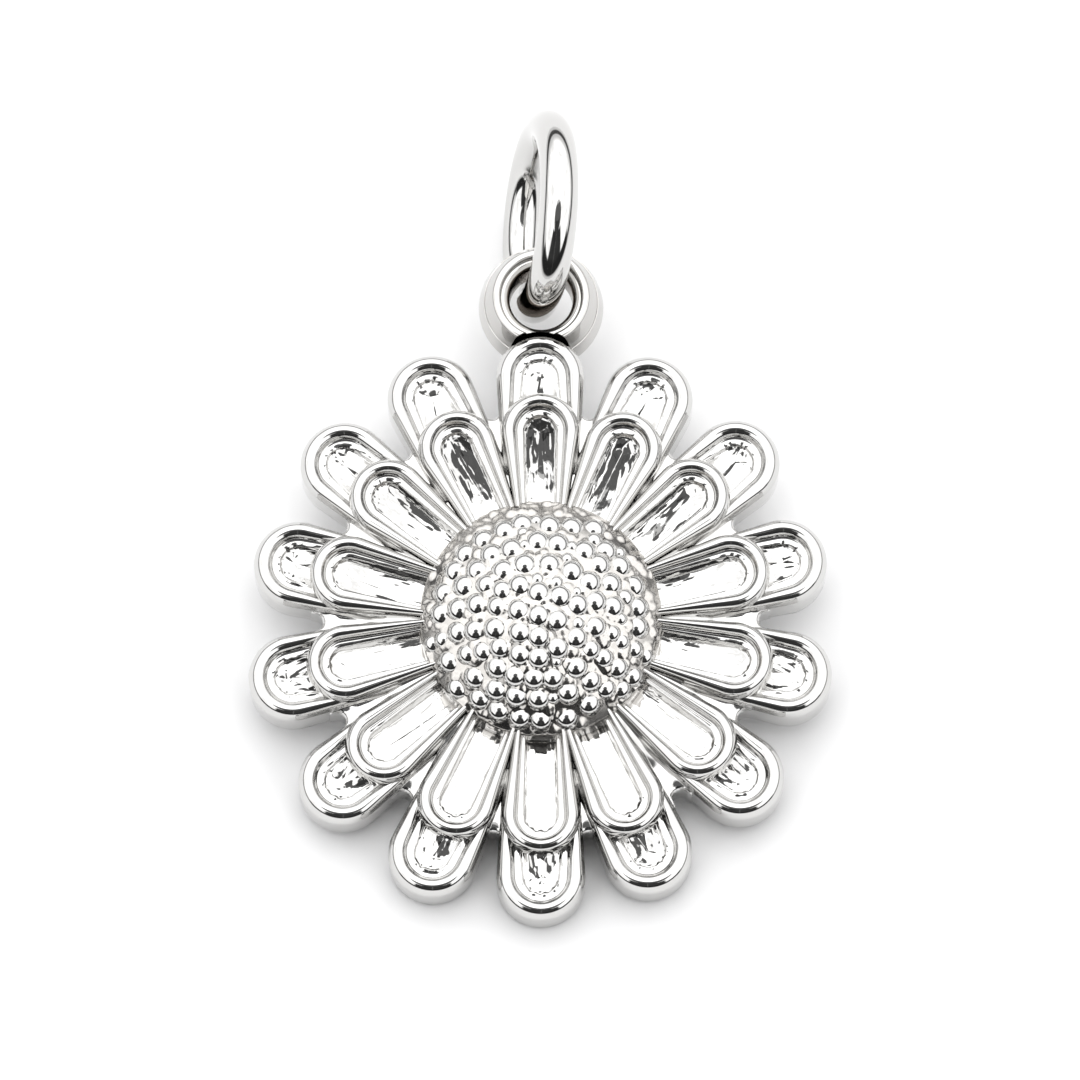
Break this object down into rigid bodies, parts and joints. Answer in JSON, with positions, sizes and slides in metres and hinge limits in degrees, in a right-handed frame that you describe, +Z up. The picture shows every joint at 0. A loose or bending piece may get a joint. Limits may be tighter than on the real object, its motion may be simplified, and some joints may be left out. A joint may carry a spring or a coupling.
{
  "type": "flower pendant",
  "caption": "Cast silver daisy pendant with layered rimmed petals, a beaded dome and a pierced eye, lying on its back with a round-wire jump ring standing through the eye.",
  "frame": {"origin": "middle of the pendant's footprint, on the surface it lies on", "axes": "+Z up from that surface, +Y from the flower towards the jump ring, +X to the right seen from above"},
  "size_m": [0.0159, 0.0228, 0.0058],
  "materials": {
    "silver": "polished"
  },
  "bodies": {
    "root": {"flower_casting": "silver", "jump_ring": "silver"}
  },
  "joints": []
}
